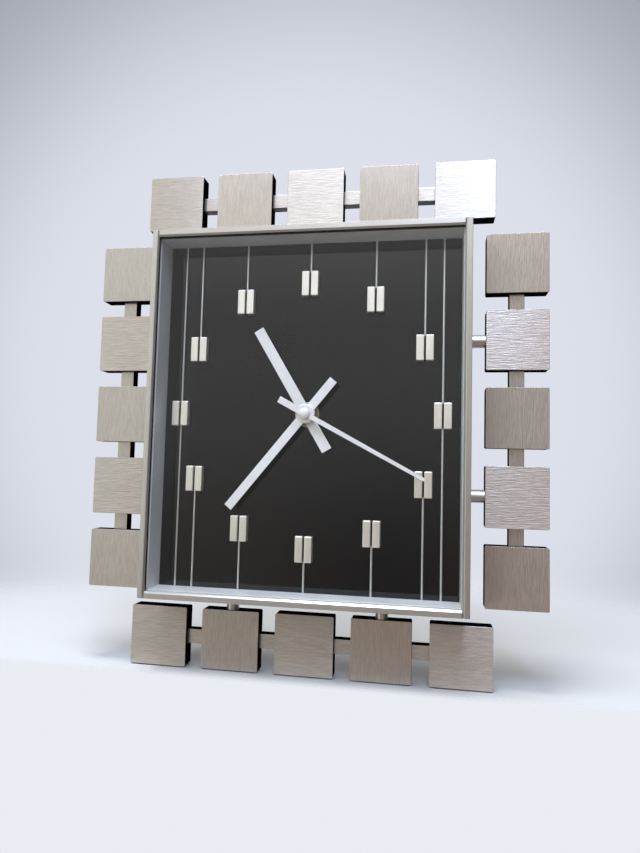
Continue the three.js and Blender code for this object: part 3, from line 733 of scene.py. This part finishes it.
def addGrown(name, tree, values, body, replaced=()):
    made = bpy.data.objects.new(name, bpy.data.meshes.new(name))
    scene.collection.objects.link(made)
    modifier = made.modifiers.new("grow", "NODES")
    modifier.node_group = tree
    names = {item.name: item.identifier for item in tree.interface.items_tree if item.in_out == "INPUT"}
    for label, value in values.items():
        modifier[names[label]] = value
    mesh = baked(made)
    made.modifiers.remove(modifier)
    bpy.data.objects.remove(made)
    mesh.attributes.remove(mesh.attributes["finish"])
    addPiece(name, evened(name, mesh), body, replaced=replaced)


# Rows of blocks: a rounded metal face plate on a black core, grooved for the rail
blockRow = {
    "blocks": 5,
    **lengths(plate=0.35, cornerRadius=0.8, edgeRadius=0.2, backBevel=0.4, seam=0.05, grooveReach=8.3,
              grooveGap=0.1, railThickness=6.5),
}
rearLimit = 0.9   # a face whose normal has more of Y than this belongs to the back
edgeSteps = 4


def blockRowTree(inputs):
    tree, start, end = newTree("blockRow", inputs)
    black, across, upright, rear = range(4)
    side, seam, plate, corner = start["side"], start["seam"], start["plate"], start["cornerRadius"]
    bevel = start["backBevel"]
    coreSide = minus(tree, side, times(tree, seam, 2.0))
    coreDepth = minus(tree, start["thickness"], plate)
    coreLayers = [(0.0, bevel), (bevel, 0.0), (minus(tree, coreDepth, bevel), 0.0)]
    core = marked(tree, layeredSlab(tree, coreSide, coreSide, corner, 0.0, coreLayers), black)
    plateLayers = roundedLayers(tree, minus(tree, plate, seam), start["edgeRadius"], edgeSteps)
    plateLayers = [(0.0, seam), (seam, 0.0)] + plateLayers[1:]
    face = layeredSlab(tree, side, side, corner, times(tree, coreDepth, -1.0), plateLayers)

    half = times(tree, minus(tree, start["blocks"], 1.0), 0.5)
    first = times(tree, times(tree, half, start["pitch"]), -1.0)
    spots = out(tree, "GeometryNodeMeshLine", {
        "Count": start["blocks"], "Start Location": vector(tree, first),
        "Offset": vector(tree, start["pitch"]),
    }, mode="OFFSET")
    index = out(tree, "GeometryNodeInputIndex")
    isAcross = calc(tree, "MODULO", plus(tree, index, start["acrossFirst"]), 2.0)
    isUpright = minus(tree, 1.0, isAcross)
    cores = out(tree, "GeometryNodeRealizeInstances", {"Geometry": spread(tree, spots, core)})
    grooveLength = times(tree, minus(tree, start["grooveReach"], first), 2.0)
    grooveDepth = times(tree, plus(tree, start["railThickness"], start["grooveGap"]), 2.0)
    grooveWidth = plus(tree, start["railWidth"], times(tree, start["grooveGap"], 2.0))
    groove = marked(tree, cube(tree, grooveLength, grooveDepth, grooveWidth), black)
    cores = out(tree, "GeometryNodeMeshBoolean", {"Mesh 1": cores, "Mesh 2": groove}, operation="DIFFERENCE")
    facing = split(tree, out(tree, "GeometryNodeInputNormal"))["Y"]
    parts = [marked(tree, cores, rear, calc(tree, "GREATER_THAN", facing, rearLimit))]
    for number, chosen in ((across, isAcross), (upright, isUpright)):
        parts.append(spread(tree, spots, marked(tree, face, number), Selection=chosen))
    row = moved(tree, joined(tree, *parts), start["place"], vector(tree, 0.0, start["turn"], 0.0))
    return finished(tree, row, end, start["black"], start["across"], start["upright"], start["rear"])


def addBlockRows():
    low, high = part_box("block_top_3")
    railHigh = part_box("rail_top")[1]
    shared = dict(
        blockRow, side=high.x - low.x, pitch=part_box("block_top_4")[0].x - low.x, thickness=high.y - low.y,
        railWidth=2 * (railHigh.z - (low.z + high.z) / 2),
        black=coat["blockSideBlack"], rear=coat["panelBlackPaint"])
    tree = None
    for quarter, side in enumerate(sides):
        names = [f"block_{side}_{number}" for number in range(1, blockRow["blocks"] + 1)]
        boxLow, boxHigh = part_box(names[blockRow["blocks"] // 2])
        middle = (boxLow + boxHigh) / 2
        values = dict(
            shared, turn=(quarter % 2) * quarterTurn, acrossFirst=1 - quarter % 2,
            place=Vector((middle.x, boxHigh.y, middle.z)),
            across=blockFinish[side, "across"], upright=blockFinish[side, "upright"])
        tree = tree or blockRowTree(values)
        addGrown("blocks_" + side, tree, values, "case", names)


addBlockRows()
print("rows of blocks made")

# Rails let into the blocks' backs, each on two round pins that stand on the case wall
railPiece = {
    "thickness": blockRow["railThickness"], "pinSteps": 48, "pinColumns": (-1, 1),
    **lengths(width=8.5, rounding=0.35, pinRadius=3.75, pinChamfer=0.25),
}


def addRails():
    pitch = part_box("block_top_4")[0].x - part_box("block_top_3")[0].x
    paint, pin = 1, 2   # numbers of the finishes, after the front's
    for quarter, side in enumerate(sides):
        name = "rail_" + side
        low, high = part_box(name)
        back = Matrix.Rotation(-quarter * quarterTurn, 4, "Y")
        corners = [back @ Vector((x, 0, z)) for x in (low.x, high.x) for z in (low.z, high.z)]
        inner = min(corner.z for corner in corners)
        outer = max(corner.z for corner in corners)
        reach = max(corner.x for corner in corners)
        barLow = outer - railPiece["width"]
        shape = bmesh.new()
        addPrism(shape, rectangle(-reach, reach, barLow, outer), high.y - railPiece["thickness"], high.y,
                 railPiece["rounding"], paint, paint)
        length = barLow + railPiece["rounding"] - inner
        chamfer = railPiece["pinChamfer"]
        radius = railPiece["pinRadius"]
        section = [(0, 0), (radius - chamfer, 0), (radius, chamfer), (radius, length), (0, length)]
        stand = Matrix.Rotation(quarterTurn, 4, "X")
        for column in railPiece["pinColumns"]:
            foot = Matrix.Translation((column * pitch, low.y + radius, inner))
            addTurned(shape, section, railPiece["pinSteps"], foot @ stand, pin)
        turnedBy(shape, quarter * quarterTurn)
        front = blockFinish[side, "upright" if quarter % 2 else "across"]
        # painted reflection: the top rail's sides take the lighter panel paint for the lit case top they
        # mirror, the other rails' sides stay near-black
        black = coat["panelBlackPaint" if side == "top" else "blockSideBlack"]
        addPiece(name + "_bar", shape, "case", [front, black, satinAcross], [name])


addRails()
print("rails made")

# Case, glass, spacer and dial
caseRounding = 0.3 * mm
addSoftened({
    "case_left": (caseRounding, "satin_metal", satinUpright),
    "case_right": (caseRounding, "satin_metal", satinUpright),
    "case_top": (caseRounding, "satin_metal", satinAcross),
    "case_bottom": (caseRounding, "satin_metal", satinAcross),
    "front_glass": (0.4 * mm, "clear_glass", clearGlass),
    "dial_spacer": (0.15 * mm, "satin_metal", coat["spacerSatin"]),
})
nodes["dial_plate"].material_slots[0].material = coat["dialGlossBlack"]

# Painted shade: thin black strips between glass and spacer, along the top and the left only, stand in for the
# shadow line under the rim
paintedShadeStrip = lengths(topWidth=2.1, leftWidth=1.3, thickness=0.07, gap=0.01, rounding=0.01)


def addPaintedShadeStrip():
    low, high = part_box("dial_spacer")
    backY = low.y - paintedShadeStrip["gap"]
    frontY = backY - paintedShadeStrip["thickness"]
    topLow = high.z - paintedShadeStrip["topWidth"]
    leftEnd = low.x + paintedShadeStrip["leftWidth"]
    shape = bmesh.new()
    for outline in (rectangle(low.x, high.x, topLow, high.z), rectangle(low.x, leftEnd, low.z, topLow)):
        addPrism(shape, outline, frontY, backY, paintedShadeStrip["rounding"])
    addPiece("painted_shade_strip", shape, "case", [coat["blockSideBlack"]])


addPaintedShadeStrip()
print("case made")

# Hour indices: two satin bars on a web, each on a thin rod that runs along the dial to its edge
hourIndex = {
    "hours": 12, "rodSides": 20,
    **lengths(groove=1.0, grooveDepth=1.6, edgeRadius=0.55, cornerRadius=0.4, rodRadius=0.58, webOverlap=0.3),
}
levelLimit = 0.01 * mm   # a point this close to the level of the axis counts as both above and below it


def hourRingTree(inputs):
    tree, start, end = newTree("hourRing", inputs)
    bars, web, rods = range(3)
    width, groove, thickness, back = start["width"], start["groove"], start["thickness"], start["back"]
    barWidth = times(tree, minus(tree, width, groove), 0.5)
    barShift = times(tree, plus(tree, width, groove), 0.25)
    layers = roundedLayers(tree, thickness, start["edgeRadius"], edgeSteps)
    bar = layeredSlab(tree, barWidth, start["height"], start["cornerRadius"], back, layers)
    bar = marked(tree, bar, bars)
    webDepth = minus(tree, thickness, start["grooveDepth"])
    webHeight = minus(tree, start["height"], times(tree, start["edgeRadius"], 2.0))
    strip = cube(tree, plus(tree, groove, start["webOverlap"]), webDepth, webHeight)
    strip = moved(tree, strip, vector(tree, 0.0, minus(tree, back, times(tree, webDepth, 0.5))))
    left = moved(tree, bar, vector(tree, times(tree, barShift, -1.0)))
    right = moved(tree, bar, vector(tree, barShift))
    index = shaded(tree, joined(tree, left, right, marked(tree, strip, web)), False)

    ring = out(tree, "GeometryNodeMeshCircle", {"Vertices": start["hours"], "Radius": start["ringRadius"]})
    ring = moved(tree, ring, turn=(quarterTurn, 0, 0))
    indices = spread(tree, ring, index)

    place = split(tree, out(tree, "GeometryNodeInputPosition"))
    isUp = calc(tree, "GREATER_THAN", place["Z"], -levelLimit)
    isDown = calc(tree, "LESS_THAN", place["Z"], levelLimit)
    topEnd = ranged(tree, isUp, 0.0, 1.0, place["Z"], start["rodReach"])
    lowEnd = ranged(tree, isDown, 0.0, 1.0, place["Z"], times(tree, start["rodReach"], -1.0))
    values = {"Geometry": ring, "Name": "rodLength", "Value": minus(tree, topEnd, lowEnd)}
    spots = out(tree, "GeometryNodeStoreNamedAttribute", values, data_type="FLOAT", domain="POINT")
    rodY = minus(tree, back, start["rodRadius"])
    rodPlace = vector(tree, place["X"], rodY, times(tree, plus(tree, topEnd, lowEnd), 0.5))
    spots = out(tree, "GeometryNodeSetPosition", {"Geometry": spots, "Position": rodPlace})
    values = {"Vertices": start["rodSides"], "Radius": start["rodRadius"], "Depth": 1.0}
    rod = marked(tree, shaded(tree, out(tree, "GeometryNodeMeshCylinder", values), True), rods)
    length = out(tree, "GeometryNodeInputNamedAttribute", {"Name": "rodLength"}, data_type="FLOAT")
    stretched = spread(tree, spots, rod, Scale=vector(tree, 1.0, 1.0, length))
    return finished(tree, joined(tree, indices, stretched), end, start["bars"], start["web"], start["rods"])


def addIndices():
    low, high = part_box("index_12")
    levelLow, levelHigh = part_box("index_3")
    ringRadius = (levelLow.x + levelHigh.x) / 2
    values = dict(
        hourIndex, ringRadius=ringRadius, width=high.x - low.x, height=2 * (ringRadius - low.z),
        thickness=high.y - low.y, rodReach=high.z, back=high.y,
        bars=indexMetal, web=coat["blockSideBlack"], rods=rodMetal)
    names = [f"index_{hour}" for hour in range(1, hourIndex["hours"] + 1)]
    addGrown("hour_indices", hourRingTree(values), values, "case", names)


addIndices()
print("indices made")

# Hands: pressed white strips with softened edges on round hubs, turned to the time shown
handStrip = lengths(thickness=0.6, rounding=0.14, collet=0.35)
hands = {
    "hour_hand": {
        "body": "hour_side", "degrees": 329,
        **lengths(reach=58.5, tail=24.5, width=6.2, hubRadius=5.2, hubRise=0.0, bore=2.6),
    },
    "minute_hand": {
        "body": "minute_side", "degrees": 219,
        **lengths(reach=71, tail=25.5, width=5.1, hubRadius=5.7, hubRise=0.6, bore=1.65),
    },
}
hubSteps = 64


def addHand(name, shape, section, look):
    addTurned(shape, section, hubSteps)
    turnedBy(shape, math.radians(look["degrees"]))
    addPiece(name + "_strip", shape, look["body"], [coat["handWhiteLacquer"]], [name])


def addBarHands():
    rounding = handStrip["rounding"]
    for name, look in hands.items():
        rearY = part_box(name)[1].y
        backY = rearY - handStrip["collet"]
        faceY = backY - handStrip["thickness"]
        shape = bmesh.new()
        outline = rectangle(-look["width"] / 2, look["width"] / 2, -look["tail"], look["reach"])
        addPrism(shape, outline, faceY, backY, rounding)
        topY = faceY - look["hubRise"] - rounding / 2
        rim, bore = look["hubRadius"], look["bore"]
        section = [
            (bore, rearY), (rim - rounding, rearY), (rim, rearY - rounding), (rim, faceY + rounding),
            (rim - rounding, faceY - rounding / 2), (rim - max(look["hubRise"], 2 * rounding), topY),
            (bore, topY), (bore, rearY),
        ]
        addHand(name, shape, section, look)


secondsHand = {
    "body": "seconds_side", "degrees": 118, "domeSteps": 12,
    **lengths(reach=77.6, tail=17.5, tailWidth=3.9, rootWidth=2.8, tipWidth=1.9, thickness=0.4, rounding=0.1,
              collet=0.35, colletRadius=1.95, capRadius=3.2, capHeight=1.7, shoulder=2.5),
}


def addSecondsHand():
    look = secondsHand
    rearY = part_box("seconds_hand")[1].y
    backY = rearY - look["collet"]
    faceY = backY - look["thickness"]
    tail, root, tip = look["tailWidth"] / 2, look["rootWidth"] / 2, look["tipWidth"] / 2
    outline = [
        (-tail, -look["tail"]), (tail, -look["tail"]), (tail, -look["shoulder"]), (root, look["shoulder"]),
        (tip, look["reach"]), (-tip, look["reach"]), (-root, look["shoulder"]), (-tail, -look["shoulder"]),
    ]
    shape = bmesh.new()
    addPrism(shape, outline, faceY, backY, look["rounding"])
    section = [(0, rearY), (look["colletRadius"], rearY), (look["capRadius"], backY)]
    for step in range(look["domeSteps"]):
        angle = quarterTurn * step / look["domeSteps"]
        section.append((look["capRadius"] * math.cos(angle), faceY - look["capHeight"] * math.sin(angle)))
    section.append((0, faceY - look["capHeight"]))
    addHand("seconds_hand", shape, section, look)


addBarHands()
addSecondsHand()
# The fixing nut is softened and takes the brass darkened by painted shade
nut = {"rounding": 0.25 * mm, "segments": 3}
addPiece("fixing_nut_edge", softened("fixing_nut", nut["rounding"], nut["segments"]), "case",
         [coat["brassWithPaintedShade"]], ["fixing_nut"])
print("hands made")

# Movement: the moulded shell is softened, the wheel train keeps its shape
addSoftened({
    "movement_housing": (0.12 * mm, "movement_plastic", coat["movementBlackPlastic"]),
    "movement_cover": (0.25 * mm, "movement_plastic", coat["movementBlackPlastic"]),
    "back_panel": (0.3 * mm, "panel_black", coat["panelBlackPaint"]),
})
train = {
    "wheelPaleNylon": ("hour_wheel", "setting_wheel", "seconds_wheel", "third_wheel", "step_wheel", "rotor"),
    "brassWithPaintedShade": ("minute_arbor", "clutch_wheel"),
    "coilCopper": ("drive_coil",),
}
for finishName, nodeNames in train.items():
    for nodeName in nodeNames:
        nodes[nodeName].material_slots[0].material = coat[finishName]
print("movement made")

# Cell with its shrink wrap turned over the ends
cell = {"steps": 64, **lengths(nubRadius=2.7, nubLength=1.2, edge=0.6, fold=1.3, sink=0.25, band=9)}


def addCell():
    low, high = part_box("battery")
    radius = (high.z - low.z) / 2
    end = high.x - cell["nubLength"]
    edge, sink, nub = cell["edge"], cell["sink"], cell["nubRadius"]
    lip = radius - cell["fold"]
    bandStart = end - cell["band"]
    wrap = [
        (lip, low.x + sink), (lip, low.x), (radius - edge, low.x), (radius, low.x + edge),
        (radius, bandStart),
    ]
    band = [(radius, bandStart), (radius, end - edge), (radius - edge, end), (lip, end), (lip, end - sink)]
    minusEnd = [(0, low.x + sink), (lip, low.x + sink)]
    plusEnd = [
        (lip, end - sink), (nub, end - sink), (nub, high.x - edge / 2), (nub - edge / 2, high.x), (0, high.x),
    ]
    middle = Matrix.Translation((0, (low.y + high.y) / 2, (low.z + high.z) / 2))
    lay = middle @ Matrix.Rotation(-quarterTurn, 4, "Z")
    shape = bmesh.new()
    for section, finish in ((wrap, 0), (band, 1), (minusEnd, 2), (plusEnd, 2)):
        addTurned(shape, section, cell["steps"], lay, finish)
    finishes = [coat["cellWrapGrey"], coat["cellBandPale"], coat["contactSteel"]]
    addPiece("battery_cell", shape, "case", finishes, ["battery"])


addCell()
print("cell made")

# Sprung contact at the cell's flat end and a plate at its pole
contact = {
    "wireSides": 10, "turns": 3.5, "turnSteps": 40,
    **lengths(wire=0.35, wideRadius=4.6, tightRadius=2.4, plateSize=9.5, plateCorner=1.2, plateThickness=0.6,
              plateEdge=0.15),
}
contactSeat = lengths(wall=26.5, gap=0.05)
fineSteps = 3


def contactTree(inputs):
    tree, start, end = newTree("cellContacts", inputs)
    coil = out(tree, "GeometryNodeCurveSpiral", {
        "Resolution": start["turnSteps"], "Rotations": start["turns"], "Start Radius": start["wideRadius"],
        "End Radius": start["tightRadius"], "Height": start["length"],
    })
    values = {"Resolution": start["wireSides"], "Radius": start["wire"]}
    wire = out(tree, "GeometryNodeCurvePrimitiveCircle", values)
    spring = out(tree, "GeometryNodeCurveToMesh", {"Curve": coil, "Profile Curve": wire, "Fill Caps": True})
    spring = moved(tree, spring, start["springFoot"], (0, quarterTurn, 0))
    layers = roundedLayers(tree, start["plateThickness"], start["plateEdge"], fineSteps)
    plate = layeredSlab(tree, start["plateSize"], start["plateSize"], start["plateCorner"], 0.0, layers)
    plate = moved(tree, plate, start["plateFoot"], (0, 0, -quarterTurn))
    return finished(tree, marked(tree, joined(tree, spring, plate)), end, start["steel"])


def addContacts():
    low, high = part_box("battery")
    axis = (low + high) / 2
    room = contact["wire"] + contactSeat["gap"]
    foot = contactSeat["wall"] - room
    values = dict(
        contact, length=low.x + foot + cell["sink"] - room, springFoot=Vector((-foot, axis.y, axis.z)),
        plateFoot=Vector((contactSeat["wall"] - contactSeat["gap"], axis.y, axis.z)),
        steel=coat["contactSteel"])
    addGrown("cell_contacts", contactTree(values), values, "case")


addContacts()
print("contacts made")

# Cross-head screws that hold the back panel, each stopped at its own turn
panelScrew = {
    "columns": 2, "rows": 3, "cornerShare": 0.98, "cornerPoints": 9, "seed": 7,
    **lengths(headRadius=2.7, headRise=0.3, bury=0.5, crossLength=3.2, crossWidth=0.65, crossDepth=0.7),
}
screwInset = 6 * mm


def screwTree(inputs):
    tree, start, end = newTree("panelScrews", inputs)
    across = times(tree, start["headRadius"], 2.0)
    corner = times(tree, start["headRadius"], start["cornerShare"])
    depth = plus(tree, start["bury"], start["headRise"])
    layers = roundedLayers(tree, depth, start["headRise"], edgeSteps)
    head = layeredSlab(tree, across, across, corner, start["bury"], layers, start["cornerPoints"])
    deep = times(tree, start["crossDepth"], 2.0)
    face = vector(tree, 0.0, times(tree, start["headRise"], -1.0))
    cut = put(tree, "GeometryNodeMeshBoolean", {"Mesh 1": head}, operation="DIFFERENCE")
    for long, wide in (("crossLength", "crossWidth"), ("crossWidth", "crossLength")):
        tree.links.new(moved(tree, cube(tree, start[long], deep, start[wide]), face), cut.inputs["Mesh 2"])
    head = moved(tree, cut.outputs[0], turn=(0, 0, math.pi))
    spots = out(tree, "GeometryNodeMeshGrid", {
        "Size X": start["width"], "Size Y": start["height"],
        "Vertices X": start["columns"], "Vertices Y": start["rows"],
    })
    spots = moved(tree, spots, turn=(quarterTurn, 0, 0))
    values = {"Min": 0.0, "Max": quarterTurn, "Seed": start["seed"]}
    stop = put(tree, "FunctionNodeRandomValue", values, data_type="FLOAT")
    turn = next(socket for socket in stop.outputs if socket.enabled)
    screws = spread(tree, spots, marked(tree, head), Rotation=vector(tree, 0.0, turn))
    return finished(tree, screws, end, start["steel"])


def addScrews():
    low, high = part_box("back_panel")
    values = dict(
        panelScrew, width=high.x - low.x - 2 * screwInset, height=high.z - low.z - 2 * screwInset,
        steel=coat["contactSteel"])
    addGrown("panel_screws", screwTree(values), values, "case")


addScrews()
print("screws made")

# Grip ribs on the back of the setting knob
knobRibs = {"ribs": 24, **lengths(radius=4.05, length=1.3, width=0.45, rise=0.3, edge=0.12)}


def knobRibTree(inputs):
    tree, start, end = newTree("knobRibs", inputs)
    layers = roundedLayers(tree, start["rise"], start["edge"], fineSteps)
    rib = layeredSlab(tree, start["length"], start["width"], start["edge"], 0.0, layers)
    rib = moved(tree, moved(tree, rib, turn=(0, 0, math.pi)), vector(tree, start["radius"]))
    spots = out(tree, "GeometryNodeMeshLine", {"Count": start["ribs"], "Offset": (0, 0, 0)}, mode="OFFSET")
    step = calc(tree, "DIVIDE", 2 * math.pi, start["ribs"])
    turn = times(tree, out(tree, "GeometryNodeInputIndex"), step)
    ribs = spread(tree, spots, marked(tree, rib), Rotation=vector(tree, 0.0, turn))
    return finished(tree, moved(tree, ribs, start["place"]), end, start["nylon"])


def addKnobRibs():
    low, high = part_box("setting_wheel")
    place = Vector(((low.x + high.x) / 2, high.y, (low.z + high.z) / 2))
    values = dict(knobRibs, place=place, nylon=coat["wheelPaleNylon"])
    addGrown("knob_ribs", knobRibTree(values), values, "setting_side")


addKnobRibs()
print("knob ribs made")
